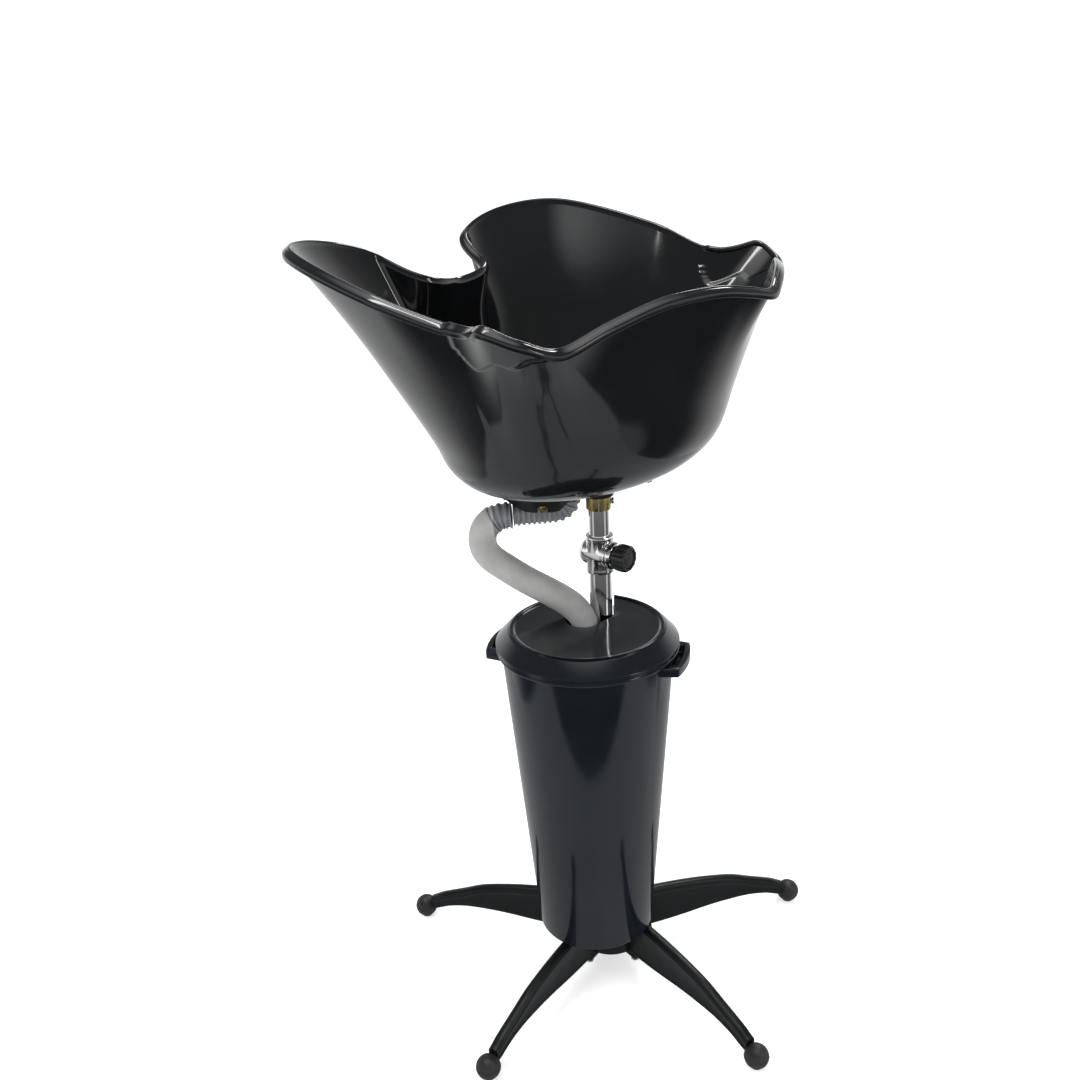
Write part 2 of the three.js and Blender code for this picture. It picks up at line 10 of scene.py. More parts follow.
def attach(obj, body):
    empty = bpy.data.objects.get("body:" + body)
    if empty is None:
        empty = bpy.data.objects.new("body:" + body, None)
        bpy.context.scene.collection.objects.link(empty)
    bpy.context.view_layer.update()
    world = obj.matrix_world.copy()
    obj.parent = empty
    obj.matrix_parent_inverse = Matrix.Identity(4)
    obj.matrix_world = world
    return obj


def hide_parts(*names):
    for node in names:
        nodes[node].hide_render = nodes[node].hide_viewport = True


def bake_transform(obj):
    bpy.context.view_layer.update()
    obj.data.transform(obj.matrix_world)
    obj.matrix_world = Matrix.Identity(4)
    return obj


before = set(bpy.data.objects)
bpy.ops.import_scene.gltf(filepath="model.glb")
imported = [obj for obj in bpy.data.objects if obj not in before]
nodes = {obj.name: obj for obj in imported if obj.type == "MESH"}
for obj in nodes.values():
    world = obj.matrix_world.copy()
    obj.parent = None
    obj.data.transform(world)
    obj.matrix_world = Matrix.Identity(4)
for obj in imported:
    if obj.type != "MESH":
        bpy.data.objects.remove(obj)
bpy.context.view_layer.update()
scene = bpy.context.scene

MM = 0.001
CAMERA_PLACE = (-0.0035, -1.3414, 1.1327)
CAMERA_YAW, CAMERA_PITCH, CAMERA_ROLL = -0.0517, 0.3669, -0.0475
CAMERA_LENS = 39.1
KNOB_AZIMUTH = math.radians(-37)
CLAMP_Z = 598
BASIN_AZIMUTH = math.radians(-31)
BASIN_FLOOR = 692
BASIN_WALL = 4
LIP_WIDTH = 9
DRAIN_T = -42                        # how far along the basin its drain is
MAST_BORE_R = 13.3                   # bore of the outer tube, the collar and the bracket's socket
BUCKET_X, BUCKET_Y = -18.5, -37.7
EAR_AZIMUTH = -15
HOSE_X, HOSE_Y = -22, -21.5          # middle of the hose's hole in the lid
LEG_COUNT = 5
LEG_ANGLES = [20.4 + 360 / LEG_COUNT * i for i in range(LEG_COUNT)]
LEG_REACH = 280
LEG_BOLT_REACH = 53
BALL_R = 15.5
FILLET_STEPS = 4


# ---------------------------------------------------------------- camera
def add_camera():
    """Looks 21 degrees down from the front, turned and rolled a little."""
    yaw, pitch, roll = CAMERA_YAW, CAMERA_PITCH, CAMERA_ROLL
    forward = Vector((math.sin(yaw) * math.cos(pitch), math.cos(yaw) * math.cos(pitch), -math.sin(pitch)))
    level = Vector((math.cos(yaw), -math.sin(yaw), 0))
    upright = level.cross(forward)
    right = math.cos(roll) * level + math.sin(roll) * upright
    up = -math.sin(roll) * level + math.cos(roll) * upright
    camera = bpy.data.objects.new("camera", bpy.data.cameras.new("camera"))
    scene.collection.objects.link(camera)
    camera.matrix_world = Matrix((
        (right.x, up.x, -forward.x, CAMERA_PLACE[0]),
        (right.y, up.y, -forward.y, CAMERA_PLACE[1]),
        (right.z, up.z, -forward.z, CAMERA_PLACE[2]),
        (0, 0, 0, 1),
    ))
    camera.data.sensor_width = 36
    camera.data.lens = CAMERA_LENS
    scene.camera = camera


# ---------------------------------------------------------------- materials
class Shader:
    """A material's node tree, with short calls for the nodes that these finishes use."""

    def __init__(self, name, **values):
        self.material = bpy.data.materials.new(name)
        self.material.use_nodes = True
        self.tree = self.material.node_tree
        self.main = self.tree.nodes["Principled BSDF"]
        self.place = self.tree.nodes.new("ShaderNodeNewGeometry").outputs["Position"]
        for key, value in values.items():
            self.main.inputs[key.replace("_", " ")].default_value = value

    def node(self, kind, **values):
        made = self.tree.nodes.new(kind)
        for key, value in values.items():
            made.inputs[key.replace("_", " ")].default_value = value
        return made

    def link(self, start, end):
        self.tree.links.new(start, end)

    def stretched(self, scale):
        mapping = self.node("ShaderNodeMapping", Scale=scale)
        self.link(self.place, mapping.inputs["Vector"])
        return mapping.outputs["Vector"]

    def noise(self, scale, detail=3.0, roughness=0.55, stretch=None):
        made = self.node("ShaderNodeTexNoise", Scale=scale, Detail=detail, Roughness=roughness)
        self.link(self.stretched(stretch) if stretch else self.place, made.inputs["Vector"])
        return made.outputs["Fac"]

    def spread(self, factor, low, high, start=0.3, end=0.7):
        """Turns a 0 to 1 factor into the range from low to high."""
        made = self.node("ShaderNodeMapRange", From_Min=start, From_Max=end, To_Min=low, To_Max=high)
        self.link(factor, made.inputs["Value"])
        return made.outputs["Result"]

    def tint(self, factor, first, second, start=0.3, end=0.7):
        ramp = self.tree.nodes.new("ShaderNodeValToRGB")
        ramp.color_ramp.elements[0].position, ramp.color_ramp.elements[1].position = start, end
        ramp.color_ramp.elements[0].color = (*first, 1)
        ramp.color_ramp.elements[1].color = (*second, 1)
        self.link(factor, ramp.inputs["Fac"])
        self.link(ramp.outputs["Color"], self.main.inputs["Base Color"])

    def rough(self, output):
        self.link(output, self.main.inputs["Roughness"])

    def bump(self, *layers):
        """Each layer is a height output, its depth in metres and its strength."""
        normal = None
        for height, distance, strength in layers:
            made = self.node("ShaderNodeBump", Strength=strength, Distance=distance)
            self.link(height, made.inputs["Height"])
            if normal:
                self.link(normal, made.inputs["Normal"])
            normal = made.outputs["Normal"]
        self.link(normal, self.main.inputs["Normal"])


def basin_plastic():
    """Polished black sheet plastic with faint waviness, wipe marks and dust."""
    made = Shader("basin_plastic", IOR=1.5, Specular_IOR_Level=0.5)
    made.tint(made.noise(9, 5), (0.0035, 0.0040, 0.0045), (0.0065, 0.0070, 0.0078))
    made.rough(made.spread(made.noise(26, 6, 0.7), 0.065, 0.12))
    made.bump((made.noise(14, 2), 0.0009, 0.10), (made.noise(900, 2), 0.00005, 0.12))
    return made.material


def bucket_plastic():
    """Injection-moulded black plastic with a cold cast, faint flow marks and fine scuffs."""
    made = Shader("bucket_plastic", IOR=1.49, Specular_IOR_Level=0.5)
    made.tint(made.noise(6, 4), (0.0045, 0.0062, 0.0085), (0.0080, 0.0105, 0.0145))
    made.rough(made.spread(made.noise(24, 6, 0.7), 0.07, 0.15))
    made.bump((made.noise(11, 1.5), 0.0008, 0.07), (made.noise(1400, 2), 0.00003, 0.12))
    return made.material


def black_paint():
    """Satin powder coat: a fine orange peel, slightly worn and dusty."""
    made = Shader("black_paint", Specular_IOR_Level=0.24)
    made.tint(made.noise(22, 6), (0.0028, 0.0034, 0.0037), (0.0068, 0.0077, 0.0082))
    made.rough(made.spread(made.noise(60, 6, 0.65), 0.26, 0.42))
    made.bump((made.noise(650, 2), 0.00018, 0.3), (made.noise(2600, 1), 0.00004, 0.2))
    return made.material


def matte_black():
    made = Shader("matte_black")
    made.tint(made.noise(40, 5), (0.010, 0.010, 0.011), (0.019, 0.019, 0.020))
    made.rough(made.spread(made.noise(90, 5), 0.42, 0.6))
    made.bump((made.noise(1500, 2), 0.00008, 0.3))
    return made.material


def chrome():
    """Plated tube: bright, with thin lengthwise polishing lines and water spots."""
    made = Shader("chrome", Metallic=1.0)
    made.tint(made.noise(35, 5), (0.80, 0.80, 0.81), (0.92, 0.92, 0.91))
    lines = made.noise(420, 3, 0.6, stretch=(1, 1, 0.03))
    spots = made.noise(240, 4, 0.75)
    blend = made.tree.nodes.new("ShaderNodeMath")
    blend.operation = "MULTIPLY_ADD"
    blend.inputs[1].default_value = 0.5
    made.link(lines, blend.inputs[0])
    made.link(spots, blend.inputs[2])
    made.rough(made.spread(blend.outputs["Value"], 0.03, 0.17, 0.45, 1.15))
    made.bump((lines, 0.00003, 0.10))
    return made.material


def yellow_zinc():
    """Yellow passivated steel, with its patchy gold and olive iridescence."""
    made = Shader("yellow_zinc", Metallic=1.0)
    made.tint(made.noise(120, 5, 0.7), (0.42, 0.27, 0.055), (0.62, 0.53, 0.26), 0.35, 0.65)
    made.rough(made.spread(made.noise(300, 4), 0.22, 0.42))
    made.bump((made.noise(900, 2), 0.00006, 0.25))
    return made.material


def steel():
    made = Shader("steel", Metallic=1.0)
    made.tint(made.noise(150, 5), (0.40, 0.41, 0.42), (0.60, 0.61, 0.62))
    made.rough(made.spread(made.noise(500, 3, stretch=(1, 1, 0.1)), 0.2, 0.4))
    made.bump((made.noise(800, 3, stretch=(1, 1, 0.1)), 0.00004, 0.3))
    return made.material


def hose_plastic():
    """Soft grey vinyl with a matt skin, mottled by handling and a little water stain."""
    made = Shader("hose_plastic", Subsurface_Weight=0.06, Subsurface_Scale=0.004)
    made.main.inputs["Subsurface Radius"].default_value = (1, 1, 1)
    made.tint(made.noise(38, 7, 0.62), (0.33, 0.325, 0.32), (0.43, 0.425, 0.42))
    made.rough(made.spread(made.noise(120, 5), 0.40, 0.62))
    made.bump((made.noise(55, 3), 0.0006, 0.22), (made.noise(1300, 2), 0.00006, 0.3))
    return made.material


def hose_ribs():
    """Corrugated hose, a darker grey than the smooth hose, its tone varying at random."""
    made = Shader("hose_ribs")
    made.tint(made.noise(70, 7, 0.65), (0.13, 0.135, 0.145), (0.23, 0.235, 0.25))
    made.rough(made.spread(made.noise(200, 5), 0.35, 0.55))
    made.bump((made.noise(900, 3), 0.00010, 0.3))
    return made.material


def rubber():
    made = Shader("rubber")
    made.tint(made.noise(80, 6), (0.007, 0.007, 0.007), (0.017, 0.017, 0.017))
    made.rough(made.spread(made.noise(150, 5), 0.38, 0.62))
    made.bump((made.noise(1100, 3), 0.00012, 0.3))
    return made.material


def nylon():
    made = Shader("nylon", Subsurface_Weight=0.1, Subsurface_Scale=0.002)
    made.tint(made.noise(90, 4), (0.58, 0.56, 0.50), (0.70, 0.69, 0.63))
    made.rough(made.spread(made.noise(200, 4), 0.4, 0.55))
    made.bump((made.noise(900, 2), 0.00006, 0.25))
    return made.material


def knob_plastic():
    """Moulded black grip with a fine spark-eroded grain."""
    made = Shader("knob_plastic")
    made.tint(made.noise(60, 5), (0.008, 0.0085, 0.009), (0.017, 0.0175, 0.0185))
    made.rough(made.spread(made.noise(260, 4), 0.26, 0.42))
    made.bump((made.noise(1700, 2), 0.00009, 0.35))
    return made.material


FINISH = {
    make.__name__: make()
    for make in (
        basin_plastic, bucket_plastic, black_paint, matte_black, chrome, yellow_zinc,
        steel, hose_plastic, hose_ribs, rubber, nylon, knob_plastic,
    )
}


# ---------------------------------------------------------------- mesh tools
def shade(thing, angle=35):
    """Smooth everywhere except over edges sharper than the angle."""
    thing.data.shade_smooth()
    thing.data.set_sharp_from_angle(angle=math.radians(angle))
    return thing


def mesh_object(name, points, faces, angle=35):
    """A new object from points in millimetres, its faces turned outward."""
    mesh = bpy.data.meshes.new(name)
    mesh.from_pydata([tuple(MM * float(value) for value in point) for point in points], [], faces)
    tidy = bmesh.new()
    tidy.from_mesh(mesh)
    bmesh.ops.remove_doubles(tidy, verts=tidy.verts, dist=1e-6)
    bmesh.ops.recalc_face_normals(tidy, faces=tidy.faces)
    tidy.to_mesh(mesh)
    tidy.free()
    thing = bpy.data.objects.new(name, mesh)
    scene.collection.objects.link(thing)
    return shade(thing, angle)


def skin(name, rows, close_rows=True, close_ends=False, angle=35):
    """Rows of points joined into a surface; caps close its two ends unless the rows form a ring."""
    count, last = len(rows[0]), len(rows) - 1
    points = [point for row in rows for point in row]
    faces = []
    for row in range(len(rows) if close_ends else last):
        after = (row + 1) % len(rows)
        for i in range(count if close_rows else count - 1):
            j = (i + 1) % count
            faces.append((row * count + i, row * count + j, after * count + j, after * count + i))
    if close_rows and not close_ends:
        faces.append(tuple(range(count))[::-1])
        faces.append(tuple(last * count + i for i in range(count)))
    return mesh_object(name, points, faces, angle)


def filleted(points):
    """Outline points, with an arc in place of each corner that gives a third value, its radius."""
    result = []
    for i, point in enumerate(points):
        if len(point) < 3:
            result.append((point[0], point[1]))
            continue
        here = Vector(point[:2])
        before = Vector(points[i - 1][:2]) - here
        after = Vector(points[(i + 1) % len(points)][:2]) - here
        half = before.angle(after) / 2
        reach = min(point[2] / math.tan(half), 0.49 * before.length, 0.49 * after.length)
        start, end = here + before.normalized() * reach, here + after.normalized() * reach
        for step in range(FILLET_STEPS + 1):
            share = step / FILLET_STEPS
            mixed = (1 - share) ** 2 * start + 2 * share * (1 - share) * here + share ** 2 * end
            result.append((mixed.x, mixed.y))
    return result


def polar(radius, degrees):
    angle = math.radians(degrees)
    return (radius * math.cos(angle), radius * math.sin(angle))


def lathe(name, profile, segments=96, centre=(0, 0), angle=35):
    """Solid of revolution about an upright axis from (radius, height) points, filleted where they ask."""
    outline = filleted(profile)
    turns = [2 * math.pi * i / segments for i in range(segments)]
    rows = [
        [(centre[0] + r * math.cos(a), centre[1] + r * math.sin(a), z) for r, z in outline] for a in turns
    ]
    on_axis = min(r for r, _ in outline) < 1e-6
    return skin(name, rows, close_rows=not on_axis, close_ends=True, angle=angle)


def drill(name, radius, bottom, top, segments, centre=(0, 0)):
    """Upright cylinder to cut a round hole with."""
    return lathe(name, [(0, bottom), (radius, bottom), (radius, top), (0, top)], segments, centre)


def block(name, outline, bottom, top):
    """Outline of (x, y) points raised from bottom to top."""
    return skin(name, [[(x, y, z) for x, y in outline] for z in (bottom, top)])


def arc(radius, start, end, steps):
    """Points of an arc about the origin, with its angles in degrees."""
    return [polar(radius, start + (end - start) * i / steps) for i in range(steps + 1)]


def turned(thing, matrix):
    """Moves an object's mesh by a matrix whose lengths are in millimetres."""
    moved = matrix.copy()
    moved.translation = matrix.translation * MM
    thing.data.transform(moved)
    return thing


def spun(thing, degrees, x=0, y=0):
    return turned(thing, Matrix.Translation((x, y, 0)) @ Matrix.Rotation(math.radians(degrees), 4, "Z"))


def settle(thing):
    """Applies an object's modifiers."""
    graph = bpy.context.evaluated_depsgraph_get()
    mesh = bpy.data.meshes.new_from_object(thing.evaluated_get(graph))
    thing.modifiers.clear()
    thing.data = mesh
    return thing


def combine(thing, operation, *tools):
    for tool in tools:
        change = thing.modifiers.new("combine", "BOOLEAN")
        change.operation, change.object, change.solver = operation, tool, "EXACT"
        settle(thing)
        bpy.data.objects.remove(tool)
    return shade(thing)


def joined(thing, *others):
    return combine(thing, "UNION", *others)


def cut(thing, *tools):
    return combine(thing, "DIFFERENCE", *tools)


def softened(thing, width, angle=32, segments=3):
    """Rounds the sharp edges."""
    change = thing.modifiers.new("soften", "BEVEL")
    change.width, change.segments = MM * width, segments
    change.limit_method, change.angle_limit = "ANGLE", math.radians(angle)
    change.use_clamp_overlap = True
    return shade(settle(thing), 50)


def merged(name, things):
    """Several meshes as one object, without a boolean."""
    joined_mesh = bmesh.new()
    for thing in things:
        joined_mesh.from_mesh(thing.data)
    mesh = bpy.data.meshes.new(name)
    joined_mesh.to_mesh(mesh)
    joined_mesh.free()
    for thing in things:
        bpy.data.objects.remove(thing)
    made = bpy.data.objects.new(name, mesh)
    scene.collection.objects.link(made)
    return shade(made)


def piece(thing, body, finish, *stands_for):
    """Gives a finished mesh its material, the body it rides on and the CAD nodes it stands for."""
    thing.data.materials.clear()
    thing.data.materials.append(FINISH[finish])
    if body:
        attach(thing, body)
    if stands_for:
        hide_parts(*stands_for)


def centripetal(points, count, closed=False):
    """Points evenly spread along a centripetal Catmull-Rom curve through the given ones."""
    known = np.array(points, float)
    total = len(known)
    if closed:
        padded = np.vstack([known[-1], known, known[0], known[1]])
    else:
        padded = np.vstack([2 * known[0] - known[1], known, 2 * known[-1] - known[-2]])
    dense = []
    for i in range(total if closed else total - 1):
        p0, p1, p2, p3 = padded[i:i + 4]
        d0, d1, d2 = (max(np.linalg.norm(b - a) ** 0.5, 1e-6) for a, b in ((p0, p1), (p1, p2), (p2, p3)))
        m1 = d1 * ((p1 - p0) / d0 - (p2 - p0) / (d0 + d1) + (p2 - p1) / d1)
        m2 = d1 * ((p2 - p1) / d1 - (p3 - p1) / (d1 + d2) + (p3 - p2) / d2)
        for t in np.linspace(0, 1, 60, endpoint=False):
            dense.append((2 * t**3 - 3 * t**2 + 1) * p1 + (t**3 - 2 * t**2 + t) * m1
                         + (3 * t**2 - 2 * t**3) * p2 + (t**3 - t**2) * m2)
    dense.append(known[0] if closed else known[-1])
    dense = np.array(dense)
    travelled = np.concatenate([[0], np.cumsum(np.linalg.norm(np.diff(dense, axis=0), axis=1))])
    stops = np.linspace(0, travelled[-1], count + 1 if closed else count)
    spread = np.stack([np.interp(stops, travelled, dense[:, axis]) for axis in range(3)], axis=1)
    return (spread[:-1] if closed else spread), travelled[-1]


def smoothstep(value, start, end):
    t = np.clip((value - start) / (end - start), 0, 1)
    return t * t * (3 - 2 * t)


# ---------------------------------------------------------------- drain hose
HOSE_R = 14
SLEEVE_R = 17.5
LID_END_R = 15.5
RIBBED_ROUTE = [
    (-36, 21.6, 667.4), (-36, 21.6, 661), (-39.6, 21, 653), (-49, 20, 647.5), (-62, 19, 646),
    (-85, 16.5, 645.6), (-105, 14, 645.2),
]
SMOOTH_ROUTE = [
    (-107.2, 13.7, 645.1), (-119, 13.6, 644.4), (-130, 13.6, 640), (-140.5, 13.8, 629.5),
    (-145, 14, 615), (-142.8, 13.8, 601), (-134, 12.8, 589), (-115.7, 10, 576),
    (-91.3, 5, 561.2), (-68, 0, 549.7), (-50, -6, 541), (-35.5, -12.5, 532.5), (-26.3, -18, 523.5),
    (-21.3, -22.5, 513), (-19.8, -26.5, 502), (-20, -30, 488), (-21, -33, 470), (-21.5, -34, 450),
    (-21.5, -34, 430),
]
SPLIT = 0.34                         # share of the smooth route where the upper cord ends and the lower starts
TAPER = (0.62, 0.78)                 # shares between which the smooth hose narrows towards the lid
RIB_PITCH = 6.4
RIB_COVER = 22.4                     # length over which the sleeve still shows the ribs
RIBS_ABOVE = 620                     # height the ribs stay over and the sleeve crosses on its way back


def sweep(centres, radii, sides=40, dents=None):
    """Rows of circle points round a line, with no twist because the line stays close to one plane."""
    along = np.gradient(centres, axis=0)
    along /= np.linalg.norm(along, axis=1)[:, None]
    across = np.cross((0.0, 1.0, 0.0), along)
    across /= np.linalg.norm(across, axis=1)[:, None]
    beside = np.cross(along, across)
    turns = np.linspace(0, 2 * math.pi, sides, endpoint=False)
    size = np.repeat(np.array(radii)[:, None], sides, axis=1)
    if dents is not None:
        size = size - dents(np.linspace(0, 1, len(centres))[:, None], turns[None, :])
    return (centres[:, None, :] + (size * np.cos(turns))[:, :, None] * across[:, None, :]
            + (size * np.sin(turns))[:, :, None] * beside[:, None, :])


def rib_wave(travelled):
    """From -1 in a groove to 1 on a rib, with steep flanks between."""
    return np.tanh(2.2 * np.cos(2 * math.pi * travelled / RIB_PITCH))


def add_hose():
    """Corrugated hose from the drain and a smooth one over it that turns back and down into the bucket."""
    ribbed, ribbed_length = centripetal(RIBBED_ROUTE, 340)
    smooth, smooth_length = centripetal(SMOOTH_ROUTE, 900)
    travelled = np.linspace(0, ribbed_length, len(ribbed))
    ribs = sweep(ribbed, HOSE_R - 0.9 + 1.15 * rib_wave(travelled), 48)
    share = np.linspace(0, 1, len(smooth))
    size = SLEEVE_R + (LID_END_R - SLEEVE_R) * smoothstep(share, *TAPER)
    gone = share * smooth_length
    over_ribs = SLEEVE_R - 1.6 + 1.1 * rib_wave(gone)
    bead = 0.35 * np.exp(-((gone - RIB_COVER - 2.2) / 1.8) ** 2)
    size = np.where(gone < RIB_COVER, over_ribs, size + bead)

    def creases(at, turn):
        """Shallow folds on the inside of the bends and one sharp crease just above the lid."""
        tight = np.exp(-((at - 0.735) / 0.012) ** 2) * np.clip(np.cos(turn - 0.4), 0, 1) ** 2
        second = np.exp(-((at - 0.705) / 0.010) ** 2) * np.clip(np.cos(turn - 0.9), 0, 1) ** 3
        bend = np.exp(-((at - 0.19) / 0.05) ** 2) * np.sin(at * 420) * np.clip(-np.cos(turn), 0, 1) ** 2
        return 0.9 * tight + 0.6 * second + 0.12 * bend

    whole = sweep(smooth, size, 48, creases)
    seam = int(round(SPLIT * (len(smooth) - 1)))
    upper = merged("drain_hose_upper", [
        skin("ribs", ribs.tolist()), skin("sleeve", whole[:seam + 1].tolist()),
    ])
    lower = skin("drain_hose_lower", whole[seam:].tolist())
    piece(upper, None, "hose_plastic", "hose_ribbed", "hose_sleeve")
    upper.data.materials.append(FINISH["hose_ribs"])
    rib_edge = MM * float(np.interp(RIB_COVER, gone, smooth[:, 0]))
    for face in upper.data.polygons:
        face.material_index = 1 if face.center.x > rib_edge and face.center.z > MM * RIBS_ABOVE else 0
    piece(lower, None, "hose_plastic", "hose_lower")
    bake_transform(upper)
    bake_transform(lower)


# ---------------------------------------------------------------- basin
# Half of the rim, as along, across and up: the CAD's, eased a little where the side grip starts.
RIM_HALF = [
    (-197, 0, 922), (-196, 52, 931), (-249, 86, 962), (-257, 176, 985), (-211, 267, 989),
    (-76, 302, 956), (23, 288.5, 926), (68, 314, 933), (98, 303, 922), (114, 284, 914),
    (124, 260, 909), (144, 205, 924), (168, 144, 938), (186, 105, 941), (201, 70, 940),
    (213, 35, 934), (221, 0, 928),
]
# Level sections under the wall, as in the CAD: centre, half length, half width and level.
SECTIONS = [
    (-60, 78, 80, BASIN_FLOOR), (-52, 98, 110, BASIN_FLOOR + 3), (-44, 118, 136, BASIN_FLOOR + 12),
    (-34, 146, 161, BASIN_FLOOR + 33), (-26, 164, 180, BASIN_FLOOR + 62),
]
# The lip's cross-section, as distance outward from the rim and height above it.
LIP_OUTLINE = [
    (-9.2, -5.6), (-7.6, -4.7), (-4.4, -4.7), (-3.2, -5.6), (-2.9, -8.2), (-2.5, -8.9), (-1.0, -9.0),
    (-0.2, -8.4), (0.1, -7.0), (0.1, -3.6), (-0.4, -2.7), (-1.6, -1.6), (-3.6, 0.1), (-4.6, 0.7), (-5.3, 0.9),
    (-5.8, 1.5), (-6.6, 2.3), (-7.8, 2.5), (-9.0, 2.2), (-10.2, 1.2), (-11.0, -0.6), (-11.4, -2.0),
]
RIM_SAMPLES = 480
RIM_EASE = 16                        # width of the bell curve that eases the rim, in samples
DRAIN_HOLE_R = 21.5
GRIP_FALL = 42                       # how far the moulded side grip runs down from the lip


def basin_point(t, w, z):
    """A place along, across and up the basin, in the row frame."""
    c, s = math.cos(BASIN_AZIMUTH), math.sin(BASIN_AZIMUTH)
    return (t * c - w * s, t * s + w * c, z)


def basin_section(section, at, inset):
    centre, length, width, level = section
    angle = math.atan2(at[1], at[0] - centre)
    return np.array((centre + (length - inset) * math.cos(angle), (width - inset) * math.sin(angle), level + inset))


def grip_fall(t, w):
    """How far below the lip the moulded side grip reaches, 0 beyond its two ends."""
    starts = math.sqrt(min(1.0, max(0.0, (t - 6) / 22)))
    ends = 1 - float(smoothstep(t, 84, 122))
    return GRIP_FALL * starts * ends * float(smoothstep(abs(w), 225, 262))


def wall_line(foot, top, shift, bulge, fall, outward):
    """Points from the lowest section to the lip, close together over the side grip.

    shift leads the middle of the wall past the sharp turns of the rim at the neck rest.
    """
    halves = [foot[-1] + part * (top + (1 - part) ** 0.5 * shift - foot[-1]) for part in (0.33, 0.66)]
    curve, length = centripetal([*foot, *halves, top], 400)
    depth = np.concatenate([np.linspace(length, 74, 30, endpoint=False), np.linspace(74, 0, 44)])
    fractions = (length - depth) / length * (len(curve) - 1)
    line = np.stack([np.interp(fractions, np.arange(len(curve)), curve[:, axis]) for axis in range(3)], axis=1)
    raised = bulge * (1 - smoothstep(depth, fall, fall + 5)) * min(1.0, fall / 6)
    return list(line + raised[:, None] * outward)


def add_basin():
    """One skin from the drain hole up the outside, over the lip and down the inside."""
    half = RIM_HALF + [(t, -w, z) for t, w, z in RIM_HALF[-2:0:-1]]
    rim, _ = centripetal(half, RIM_SAMPLES, closed=True)
    wide = 5
    ahead, behind = np.roll(rim, -wide, axis=0), np.roll(rim, wide, axis=0)
    outward = np.stack([ahead[:, 1] - behind[:, 1], behind[:, 0] - ahead[:, 0], np.zeros(len(rim))], axis=1)
    outward /= np.linalg.norm(outward, axis=1)[:, None]
    away = rim - np.array((-53.0, 0, 0))
    outward *= np.sign((outward[:, :2] * away[:, :2]).sum(axis=1))[:, None]
    up = np.array((0, 0, 1.0))
    steps = np.arange(-3 * RIM_EASE, 3 * RIM_EASE + 1)
    weights = np.exp(-0.5 * (steps / RIM_EASE) ** 2)
    weights /= weights.sum()
    eased = sum(weight * np.roll(rim, step, axis=0) for weight, step in zip(weights, steps))
    rows = []
    for at, out, shift in zip(rim, outward, eased - rim):
        drain = np.array((at[0] - DRAIN_T, at[1], 0.0))
        drain *= DRAIN_HOLE_R / np.linalg.norm(drain)
        hole = np.array((DRAIN_T + drain[0], drain[1], 0.0))
        fall = grip_fall(at[0], at[1])
        step = 2.0 * min(1.0, fall / 12)
        outside = [basin_section(section, at, 0) for section in SECTIONS]
        inside = [basin_section(section, at, BASIN_WALL) for section in SECTIONS]
        lip = [at + out * (across - 0.4) + up * (rise + step) for across, rise in LIP_OUTLINE]
        wall_out = wall_line(outside, at - out * (LIP_WIDTH + 0.4) - up * (7.2 - step), shift, 4.5, fall, out)
        wall_in = wall_line(inside, at - out * (LIP_WIDTH + BASIN_WALL) - up * (4.6 - step), shift, 3, fall, out)
        floor = [(hole + up * BASIN_FLOOR) * (1 - s) + outside[0] * s for s in (0, 0.5)]
        bed = [inside[0] * (1 - s) + (hole + up * (BASIN_FLOOR + BASIN_WALL)) * s for s in (0.5, 1)]
        profile = [*floor, *wall_out, *lip, *wall_in[::-1], *bed]
        rows.append([basin_point(*point) for point in profile])
    shell = skin("basin", rows, close_ends=True, angle=60)
    boss = lathe("rear_boss", [(2.6, 701), (2.6, 696.6), (6, 696.6, 1.5), (7, 722), (2.6, 722)], 40, (60, -12))
    piece(shell, "basin", "basin_plastic", "basin_shell")
    piece(boss, "basin", "basin_plastic")
    screw = joined(
        lathe("rear_screw_detail", [(0, 691), (4, 691, 1), (5, 693, 1), (5, 696.3, 0.4), (0, 696.3)], 40, (60, -12)),
        lathe("shank", [(0, 696), (2.2, 696), (2.2, 711), (0, 711)], 24, (60, -12)),
    )
    piece(screw, "basin", "steel", "rear_screw")


# ---------------------------------------------------------------- bracket and drain
BRACKET_BOLTS = [(-112, -2, 680), (-68, -8, 665), (-35, 62, 665), (-110, 62, 680)]
DRAIN = basin_point(DRAIN_T, 0, 0)


def flattened(thing, x, y):
    """Moves a round piece to the bracket's middle and narrows it to the bracket's oval."""
    return turned(thing, Matrix.Translation((x, y, 0)) @ Matrix.Diagonal((1, 0.88, 1, 1)))


